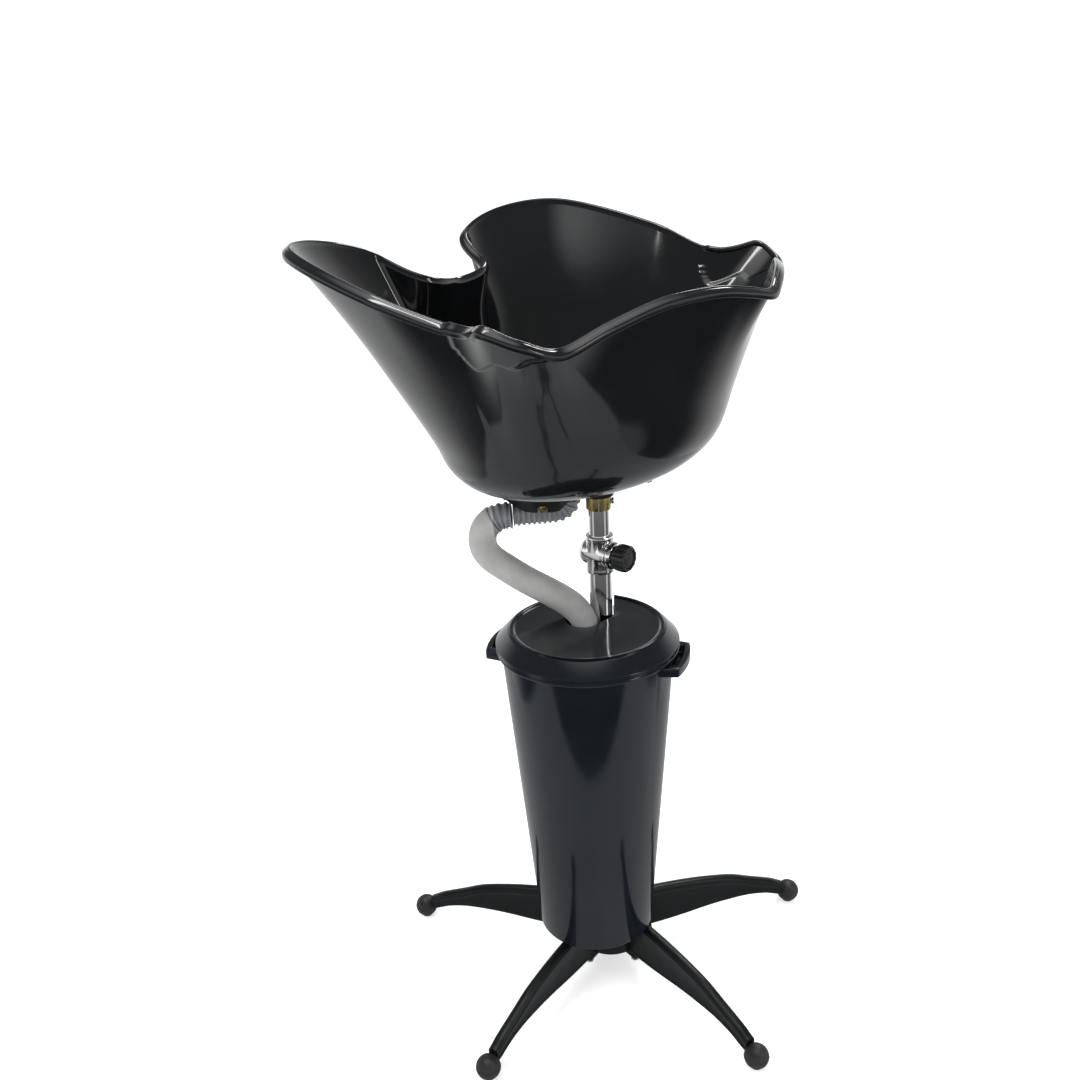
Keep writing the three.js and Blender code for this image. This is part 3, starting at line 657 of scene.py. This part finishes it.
def add_bracket():
    """Cast plate and skirt under the basin, with the socket for the mast and an arch for the hose."""
    x, y = -67, 30

    def mast_hole():
        return drill("mast_hole", MAST_BORE_R, 660, 700, 64)

    def drain_hole():
        outline = [(0, 640), (27, 640), (27, 684.1), (14.4, 684.1), (14.4, 700), (0, 700)]
        return lathe("drain_hole", outline, 64, DRAIN[:2])

    plate = flattened(lathe("bracket", [(0, 684), (63, 684), (66, 685, 1), (66, 691.7, 0.8), (0, 691.7)]), x, y)
    cut(plate, drain_hole(), *[drill("hole", 3.4, 640, 700, 32, (bx, by)) for bx, by, _ in BRACKET_BOLTS])
    skirt = flattened(lathe("skirt", [(60, 685.5), (65.4, 685.5), (41.5, 654, 1), (37.5, 654, 1)]), x, y)
    arch = sweep(np.array([(-45.0, 19.4, 646), (-85, 16.5, 645.6), (-150, 12, 645)]), [19.5] * 3, 40)
    cut(skirt, skin("arch", arch.tolist()), drain_hole(),
        *[drill("pocket", 7.4, 640, z, 32, (bx, by)) for bx, by, z in BRACKET_BOLTS])
    arm = spun(block("arm", [(-58, -17), (3, -17), (3, 17), (-58, 17)], 684.4, 691.3), -24)
    cut(softened(arm, 1.2), mast_hole(), drain_hole())
    lug = lathe("lug", [(MAST_BORE_R, 673), (19, 673, 1.5), (19, 691, 0.5), (MAST_BORE_R, 691)])
    bosses = [lathe("boss", [(3.4, z), (8, z, 1), (8, 685), (3.4, 685)], 40, (bx, by))
              for bx, by, z in BRACKET_BOLTS]
    body = merged("bracket_casting", [plate, skirt, arm, lug, *bosses])
    piece(body, "basin", "black_paint", "basin_bracket")
    for i, (bx, by, z) in enumerate(BRACKET_BOLTS, 1):
        add_bracket_bolt(i, bx, by, z)


def hexagon_nut(name, across, bottom, top, bore, place):
    """Hexagon nut with chamfered corners."""
    corner = across / math.sqrt(3)
    blank = block(name, arc(corner, 0, 300, 5), bottom, top)
    flat, wide = across / 2 + 0.2, corner + 0.6
    chamfer = lathe("chamfer", [(0, bottom - 1), (flat, bottom - 1), (wide, bottom + 1.2), (wide, top - 1.2),
                                (flat, top + 1), (0, top + 1)], 48)
    combine(blank, "INTERSECT", chamfer)
    if bore:
        cut(blank, drill("bore", bore, bottom - 2, top + 2, 32))
    return spun(softened(blank, 0.2, segments=2), 15, *place)


def threaded(name, radius, bottom, top, pitch, place):
    """Shank with a rolled thread, as rings close together."""
    levels = np.arange(bottom, top, pitch / 4)
    outline = [(0, bottom), *[(radius - (0, 0.25, 0.5, 0.25)[i % 4], z) for i, z in enumerate(levels)], (0, top)]
    return lathe(name, outline, 32, place, angle=25)


def add_bracket_bolt(number, x, y, boss):
    head = lathe(f"bolt_head_{number}", [(0, 696.4), (7, 696.4, 0.3), (6.2, 698.4, 1.2), (0, 700)], 48, (x, y))
    shank = threaded("shank", 3, boss - 9, 696.6, 1, (x, y))
    bolt = merged(f"bracket_bolt_detail_{number}", [head, shank])
    nut = hexagon_nut(f"bracket_nut_detail_{number}", 10, boss - 5.3, boss - 0.3, 3.05, (x, y))
    piece(bolt, "basin", "yellow_zinc", f"bracket_bolt_{number}")
    piece(nut, "basin", "yellow_zinc", f"bracket_nut_{number}")


def add_drain():
    floor = BASIN_FLOOR + BASIN_WALL
    at = DRAIN[:2]
    flange = lathe("drain_flange_detail", [
        (12.2, 669.2), (14, 669.2, 0.4), (14, floor + 0.2), (25, floor + 0.2, 0.2), (26, floor + 0.9, 0.5),
        (24.5, floor + 1.8, 0.8), (18, floor + 2.2, 1), (14.6, floor - 1.2, 1), (12.2, floor - 2.2, 1),
    ], centre=at)
    piece(flange, "basin", "chrome", "drain_flange")
    gasket = lathe("drain_gasket_detail", [(14.3, 681), (24, 681, 0.8), (24, 683.7, 0.8), (14.3, 683.7)], centre=at)
    piece(gasket, "basin", "rubber", "drain_gasket")
    ribs = [(r * math.cos(a), r * math.sin(a)) for i in range(32)
            for a, r in ((2 * math.pi * i / 32, 23 if i % 4 < 2 else 21.4),)]
    nut = cut(block("drain_locknut_detail", ribs, 674, 680.7), drill("bore", 14.3, 660, 700, 96))
    piece(spun(softened(nut, 0.5), 0, *at), "basin", "matte_black", "drain_locknut")
    dish = cut(
        lathe("drain_strainer_detail", [
            (0, floor - 8), (9, floor - 7, 1), (11.4, floor - 2.6, 1), (17, floor + 2.9, 1), (19, floor + 3.6, 0.3),
            (17, floor + 4.4, 1), (10.6, floor - 0.6, 1), (8.6, floor - 5, 1), (0, floor - 6),
        ]),
        *[drill("slot", 1.5, floor - 12, floor + 2, 20, polar(5.6, 60 * i)) for i in range(6)],
    )
    grip = lathe("grip", [(0, floor - 7), (2.2, floor - 7), (2.2, floor + 3, 1.5), (5, floor + 5, 1.2),
                          (4, floor + 7.4, 1.5), (0, floor + 7.8)])
    piece(spun(joined(dish, grip), 0, *at), "strainer", "chrome", "drain_strainer")
    band = lathe("hose_clip_detail", [(15.5, 662), (16.2, 662, 0.2), (16.2, 667, 0.2), (15.5, 667)])
    lug = block("lug", filleted([(-3.5, 15.8), (3.5, 15.8), (3.5, 24.4, 1), (-3.5, 24.4, 1)]), 662.2, 666.8)
    screw = lathe("screw", [(0, -4.6), (1.8, -4.6), (1.8, 3.6, 0.2), (3, 3.6, 0.3), (3, 5.6, 0.8), (0, 5.6)], 32)
    turned(screw, Matrix.Translation((0, 20.4, 664.5)) @ Matrix.Rotation(math.pi / 2, 4, "Y"))
    clip = merged("hose_clip_detail", [band, softened(lug, 0.4), screw])
    piece(spun(clip, 0, *at), "basin", "steel", "hose_clip")


# ---------------------------------------------------------------- mast and clamp
def along_knob(thing):
    """Turns a piece made along +Z so that it points out along the knob's axis."""
    return turned(thing, Matrix.Translation((0, 0, CLAMP_Z)) @ Matrix.Rotation(KNOB_AZIMUTH, 4, "Z")
                  @ Matrix.Rotation(math.pi / 2, 4, "Y"))


def add_mast():
    lower = lathe("lower_mast_tube", [(MAST_BORE_R, 34.3), (14, 34.3, 0.3), (14, 586, 0.3), (MAST_BORE_R, 586)], 128)
    piece(lower, "base", "chrome", "lower_mast")
    upper = lathe("upper_mast_tube", [(11.4, 404), (13, 404, 0.4), (13, 687.6, 0.4), (11.4, 687.6)], 128)
    piece(upper, "basin", "chrome", "upper_mast")
    collar = lathe("mast_collar_detail", [(MAST_BORE_R, 656), (15.2, 656, 0.8), (15.2, 672.6, 0.6),
                                          (MAST_BORE_R, 672.6)])
    slit = block("slit", [(-1.1, -18), (1.1, -18), (1.1, -10), (-1.1, -10)], 650, 680)
    piece(cut(collar, slit), "basin", "yellow_zinc", "mast_collar")
    socket = lathe("collar_screw_detail", [
        (0, MAST_BORE_R), (2.5, MAST_BORE_R), (2.5, 15.6), (4, 15.6, 0.3), (4, 18.6, 0.5), (2, 18.6), (1.8, 17.2),
        (0, 17.2),
    ], 40)
    turned(socket, Matrix.Translation((0, 0, 665)) @ Matrix.Rotation(math.pi / 2, 4, "Y"))
    piece(socket, "basin", "steel", "collar_screw")


def add_clamp():
    """Tee-shaped cast clamp: an upright sleeve and a domed cross barrel, with rings at the sleeve's ends."""
    sleeve = lathe("clamp", [
        (0, 574), (16.8, 574, 0.8), (17.6, 576, 0.6), (17.6, 578.6, 0.4), (17.1, 579.2, 0.4), (17.1, 616.8, 0.4),
        (17.6, 617.4, 0.4), (17.6, 620, 0.6), (16.8, 622, 0.8), (0, 622),
    ], 128)
    barrel = along_knob(lathe("barrel", [
        (0, -25), (9, -24.2, 4), (14.5, -21.4, 4), (17.1, -16, 3), (17.5, -10), (17.5, 12.4, 0.3),
        (16.9, 13, 0.3), (16.9, 14.2, 0.3), (17.5, 14.8, 0.3), (17.5, 17.7, 0.9), (0, 17.7),
    ], 128))
    body = joined(sleeve, barrel)
    cut(
        body,
        lathe("lower_bore", [(0, 570), (14.3, 570), (14.3, 586.3), (15, 586.4), (15, 592.6), (13.35, 592.6),
                             (13.35, 630), (0, 630)]),
        along_knob(drill("screw_bore", 4.4, 0, 20, 40)),
    )
    piece(softened(body, 0.9, 40, 4), "base", "chrome", "clamp_body")
    ring = along_knob(lathe("clamp_ring_detail", [
        (5, 18), (16.2, 18, 0.4), (17.2, 19.2, 0.8), (17.2, 21.6, 1), (15.6, 24.4, 1.2), (12.5, 26, 0.5), (5, 26),
    ]))
    piece(ring, "base", "chrome", "clamp_ring")
    screw = along_knob(threaded("clamp_screw_detail", 4.1, 15.9, 37.6, 1.5, (0, 0)))
    piece(screw, "knob", "steel", "clamp_screw")


def add_knob():
    """Fluted hand knob with a recessed cap."""
    outline = filleted([
        (0, 26.4), (13.2, 26.4, 0.6), (15.6, 27.8, 1.5), (17, 31, 2), (17.15, 37, 2), (16.6, 42, 2), (14.6, 44.5, 1),
        (12.2, 44.6, 0.6), (11.6, 42.4, 0.3), (0, 42.4),
    ])
    segments = 192
    rows = []
    for i in range(segments):
        turn = 2 * math.pi * i / segments
        flute = 1.5 * max(0.0, math.cos(12 * turn)) ** 1.6
        row = []
        for r, z in outline:
            depth = flute * float(smoothstep(r, 12.6, 15.5))
            row.append(((r - depth) * math.cos(turn), (r - depth) * math.sin(turn), z))
        rows.append(row)
    body = skin("clamp_knob_detail", rows, close_rows=False, close_ends=True)
    cut(body, drill("bore", 4.5, 20, 38, 40))
    piece(along_knob(body), "knob", "knob_plastic", "clamp_knob")
    cap = along_knob(lathe("knob_cap_detail", [
        (0, 42.7), (11.2, 42.7, 0.2), (11.2, 43.3, 0.3), (9.6, 43.5, 0.3), (9.2, 43.1, 0.2), (8.2, 43.2, 0.3),
        (7.2, 44, 0.8), (0, 44.2),
    ]))
    piece(cap, "knob", "knob_plastic", "knob_cap")


# ---------------------------------------------------------------- base
# The leg's upper and lower lines, as radius and height.
LEG_TOP = [(46.3, 85), (90, 82), (125, 78.5), (155, 74), (190, 66.5), (220, 55), (254, 42), (265, 36), (284, 27)]
LEG_UNDER = [(46.3, 24), (85, 25), (115, 27), (150, 30), (180, 31), (213, 30), (240, 25), (265, 16), (284, 13)]


def leg_levels(points, radii):
    """Heights of a smooth line through the points, at the given radii."""
    curve, _ = centripetal([(r, 0, z) for r, z in points], 400)
    return np.interp(radii, curve[:, 0], curve[:, 2])


def leg_section(low, high):
    """A leg's closed cross-section, from the middle of its underside up to the bead along its top and back."""
    side = [
        (0, low), (4.4, low), (5.8, low + 0.5), (6.7, low + 1.8), (6.8, low + 3.4), (6.1, low + 4.9),
        (5.6, low + 6.4), (5.5, (low + high) / 2 - 1.5), (5.6, high - 12.6), (5.9, high - 11.6), (6.6, high - 10.4),
        (7.2, high - 8.8), (7.45, high - 6.6), (7.3, high - 4.6), (6.6, high - 2.8), (5.4, high - 1.4),
        (3.6, high - 0.45), (1.8, high - 0.08), (0, high),
    ]
    return side + [(-y, z) for y, z in side[-2:0:-1]]


def add_leg(number, angle):
    radii = np.concatenate([[45.5], np.linspace(50, 260, 64), np.linspace(262, 269, 8)])
    top, under = leg_levels(LEG_TOP, radii), leg_levels(LEG_UNDER, radii)
    rows = [[(r, y, z) for y, z in leg_section(low, high)] for r, low, high in zip(radii, under, top)]
    leg = spun(skin(f"leg_arm_{number}", rows, angle=45), angle)
    piece(leg, "base", "black_paint", f"leg_{number}")
    ball = [polar(BALL_R, a) for a in range(-58, 90, 4)]
    seamed = [(r + (0.18 if abs(z) < 0.8 else 0), BALL_R + z) for r, z in ball]
    outline = [(0, 0), (7.4, 0, 0.5), *seamed, (0, 2 * BALL_R)]
    foot = lathe(f"ball_foot_{number}", outline, 72, polar(LEG_REACH, angle), angle=50)
    piece(foot, "base", "rubber", f"foot_{number}")
    at = polar(LEG_BOLT_REACH, angle)
    head = hexagon_nut("head", 10, 14, 18.7, 0, (0, 0))
    bolt = merged(f"leg_bolt_detail_{number}", [spun(head, 0, *at), threaded("shank", 2.8, 18.5, 40, 1, at)])
    piece(bolt, "base", "steel", f"leg_bolt_{number}")


def add_base():
    hub = lathe("hub", [(0, 19), (41, 19, 1), (45.4, 23, 1), (46, 25), (46, 84.4, 1), (43, 87.4, 1), (0, 87.4)], 128)
    tabs = [spun(block("tab", [(26, -6.5), (60, -6.5), (60, 6.5), (26, 6.5)], 19, 23.6), a) for a in LEG_ANGLES]
    joined(hub, *tabs)
    holes = [drill("hole", 3.4, 10, 30, 24, polar(LEG_BOLT_REACH, a)) for a in LEG_ANGLES]
    cut(hub, drill("mast_bore", 14.3, 34, 90, 96), drill("bolt_bore", 5.4, 10, 36, 40), *holes)
    piece(softened(hub, 0.7), "base", "black_paint", "base_hub")
    for number, angle in enumerate(LEG_ANGLES, 1):
        add_leg(number, angle)
    washer = lathe("mast_washer_detail", [(5.6, 15.7), (12, 15.7, 0.5), (12, 18.7, 0.3), (5.6, 18.7)])
    piece(washer, "base", "steel", "mast_washer")
    head = hexagon_nut("head", 17, 8, 15.4, 0, (0, 0))
    bolt = merged("mast_bolt_detail", [head, threaded("shank", 5, 15.2, 70, 1.5, (0, 0))])
    piece(bolt, "base", "steel", "mast_bolt")


# ---------------------------------------------------------------- bucket and lid
BUCKET_BASE, BUCKET_TOP = 88, 497
BUCKET_BASE_R, BUCKET_TOP_R = 75, 107
LID_R, LID_TOP = 113, 516.6


def bucket_radius(z):
    """Radius of the bucket's outer wall at a height."""
    return BUCKET_BASE_R + (BUCKET_TOP_R - BUCKET_BASE_R) * (z - BUCKET_BASE) / (BUCKET_TOP - BUCKET_BASE)


def channel(name, radius, bottom, top):
    """Upright groove round the mast, open at the back."""
    outline = [(radius, 160), (-radius, 160), *arc(radius, 180, 360, 32)]
    return block(name, outline, bottom, top)


def ear(angle):
    """Grip on the bucket's wall: a part ring with rounded edges and a finger slot."""
    span = 22
    plate = block("ear", [*arc(126, -span + 5, span - 5, 28), *arc(104, span + 1.5, -span - 1.5, 28)], 477, 489)
    slot = block("slot", [*arc(118.5, -13.8, 13.8, 20), *arc(110, 13.8, -13.8, 20)], 479, 495)
    return spun(softened(cut(plate, slot), 2.6, 40, 5), angle, BUCKET_X, BUCKET_Y)


def add_bucket():
    centre = (BUCKET_X, BUCKET_Y)
    low, high, wall = BUCKET_BASE, BUCKET_TOP, 3
    shell = joined(
        lathe("bucket_body", [
            (0, low + 1.2), (50, low + 1.2, 1), (53, low, 1), (bucket_radius(low) - 0.6, low, 2),
            (bucket_radius(high - 7), high - 7, 0.4),
            (BUCKET_TOP_R + 2, high - 6.4, 0.8), (BUCKET_TOP_R + 2, high, 1.2), (0, high),
        ], 160, centre),
        ear(EAR_AZIMUTH), ear(EAR_AZIMUTH + 180),
    )
    hollow = lathe("hollow", [
        (0, low + wall), (bucket_radius(low) - 8, low + wall, 4), (bucket_radius(low + 10) - wall, low + 10),
        (bucket_radius(high) - wall, high), (bucket_radius(high) - wall, high + 6), (0, high + 6),
    ], 160, centre)
    cut(hollow, channel("groove_wall", 18, low - 5, high + 10))
    cut(shell, hollow, channel("groove", 15.5, low - 5, high + 10))
    piece(softened(shell, 0.5, 40, 2), "bucket", "bucket_plastic", "bucket")


def add_lid():
    """Lid with a raised ridge, a steep shoulder, a beaded skirt and a notch for the mast and the hose."""
    lid = lathe("lid_shell", [
        (0, LID_TOP - 3.2), (89.5, LID_TOP - 3.2), (94, LID_TOP - 2, 2), (106.4, 499.6, 2), (109.4, 497.4),
        (109.4, 491, 0.4), (112.4, 491, 0.8), (LID_R, 492.6, 0.8), (LID_R, 494, 0.5), (112.3, 494.8, 0.5),
        (112.3, 497.4, 0.5), (LID_R, 498.2, 0.6), (LID_R, 500.6, 1.2), (97.6, 516.9, 3.5), (94, 519, 1.5),
        (90.6, 518.6, 2), (88, LID_TOP, 2.5), (60, LID_TOP), (30, LID_TOP), (0, LID_TOP),
    ], 192, (BUCKET_X, BUCKET_Y))
    reach, depth = 22, 20.5
    ellipse = [(HOSE_X + reach * math.cos(a), HOSE_Y + depth * math.sin(a))
               for a in np.linspace(math.pi, 1.9 * math.pi, 28)]
    notch = block("notch", [(16.5, 0), (16.5, 120), (HOSE_X - reach, 120), *ellipse, (12, -13.5)], 480, 540)
    cut(lid, notch)
    piece(softened(lid, 0.7, 45, 3), "lid", "bucket_plastic", "lid")


# ---------------------------------------------------------------- hidden CAD pieces, floor and lights
def paint_cad_nodes():
    """The pieces inside others keep their CAD meshes and take a finish."""
    for name in ("mast_plug", "guide_bush", "clamp_pad", "mast_glide"):
        nodes[name].data.materials.clear()
        nodes[name].data.materials.append(FINISH["nylon"])


def paper(name, near, far, half_width, level, shader, colours, glow, strength):
    """Level rectangle of faintly uneven paper that gives off a little light."""
    corners = [(-half_width, near), (half_width, near), (half_width, far), (-half_width, far)]
    thing = mesh_object(name, [(x, y, level) for x, y in corners], [(0, 1, 2, 3)])
    shader.tint(shader.noise(3, 3), *colours)
    shader.main.inputs["Emission Color"].default_value = glow
    shader.main.inputs["Emission Strength"].default_value = strength
    thing.data.materials.append(shader.material)
    return thing


def add_floor():
    """A pale floor that no gloss mirrors, and a dimmer sheet that only the gloss sees."""
    floor = paper("floor", -30000, 30000, 30000, 0, Shader("floor_paper", Roughness=0.75, Specular_IOR_Level=0.1),
                  ((0.80, 0.80, 0.80), (0.83, 0.83, 0.83)), (1, 1, 1, 1), 0.62)
    floor.visible_glossy = False
    sheet = paper("paper_in_gloss", -440, 1100, 640, 1, Shader("dim_paper", Roughness=0.9, Specular_IOR_Level=0.0),
                  ((0.16, 0.165, 0.17), (0.20, 0.205, 0.21)), (0.97, 0.985, 1, 1), 0.30)
    sheet.visible_camera = sheet.visible_diffuse = sheet.visible_shadow = sheet.visible_transmission = False


def add_studio():
    """A dim room seen in the gloss: pale behind the unit, dark in front and below, with a few pale strips."""
    scene.view_settings.view_transform = "Standard"
    scene.view_settings.look = "None"
    world = bpy.data.worlds.new("studio")
    scene.world = world
    world.use_nodes = True
    tree = world.node_tree
    parts = tree.nodes.new("ShaderNodeSeparateXYZ")
    tree.links.new(tree.nodes.new("ShaderNodeTexCoord").outputs["Generated"], parts.inputs["Vector"])
    x, y, z = (parts.outputs[axis] for axis in "XYZ")

    def value(operation, first, second=0.0):
        made = tree.nodes.new("ShaderNodeMath")
        made.operation = operation
        for socket, given in zip(made.inputs, (first, second)):
            if isinstance(given, (int, float)):
                socket.default_value = given
            else:
                tree.links.new(given, socket)
        return made.outputs["Value"]

    def ease(given, start, end, low=0.0, high=1.0):
        made = tree.nodes.new("ShaderNodeMapRange")
        made.interpolation_type = "SMOOTHSTEP"
        for name, number in (("From Min", start), ("From Max", end), ("To Min", low), ("To Max", high)):
            made.inputs[name].default_value = number
        tree.links.new(given, made.inputs["Value"])
        return made.outputs["Result"]

    def strip(centre, width, strength):
        """A pale upright strip below the horizon, at an angle in degrees from straight in front."""
        away = value("ABSOLUTE", value("SUBTRACT", angle, math.radians(centre)))
        shape = ease(away, math.radians(width / 2), math.radians(width / 2 + 7), 1, 0)
        return value("MULTIPLY", shape, value("MULTIPLY", ease(z, 0.0, -0.12), strength))

    angle = value("ARCTAN2", x, value("MULTIPLY", y, -1))
    sky = value("ADD", ease(z, 0.12, 0.45, 1.05, 0.20), ease(z, 0.80, 0.97, 0, 2.4))
    behind = ease(y, 0.12, 0.62, 0.0, 0.80)
    below = value("ADD", value("ADD", 0.035, behind), ease(z, -0.42, -0.15, 0, 0.16))
    for centre, width, strength in ((-68, 12, 0.45), (66, 12, 0.40)):
        below = value("ADD", below, strip(centre, width, strength))
    share = ease(z, -0.07, -0.03)
    level = value("ADD", value("MULTIPLY", sky, share), value("MULTIPLY", below, value("SUBTRACT", 1.0, share)))
    tree.links.new(level, tree.nodes["Background"].inputs["Strength"])
    tree.nodes["Background"].inputs["Color"].default_value = (0.985, 0.99, 1.0, 1)


def add_light(name, place, aim, size, power, mirrored=True):
    """Rectangular lamp; one that isn't mirrored stays out of the gloss."""
    light = bpy.data.objects.new(name, bpy.data.lights.new(name, "AREA"))
    scene.collection.objects.link(light)
    light.data.shape = "RECTANGLE"
    light.data.size, light.data.size_y = size
    light.data.energy = power
    light.location = place
    light.rotation_euler = (Vector(aim) - Vector(place)).to_track_quat("-Z", "Y").to_euler()
    light.visible_glossy = mirrored


def add_lights():
    add_light("key", (-1.9, -1.6, 2.6), (0, 0, 0.7), (1.2, 1.2), 34, mirrored=False)
    add_light("fill", (2.3, -1.4, 1.9), (0, 0, 0.6), (0.5, 1.2), 14)
    add_light("window", (0.9, 2.0, 2.6), (0, 0, 0.8), (0.9, 0.5), 22)
    add_light("lamp", (-0.5, -0.2, 2.9), (0, 0, 0.8), (0.25, 1.1), 14)
    add_light("overhead", (0.3, 0.4, 3.0), (0, 0, 0), (0.8, 0.8), 16, mirrored=False)


add_camera()
add_hose()
add_basin()
add_bracket()
add_drain()
add_mast()
add_clamp()
add_knob()
add_base()
add_bucket()
add_lid()
paint_cad_nodes()
add_floor()
add_studio()
add_lights()
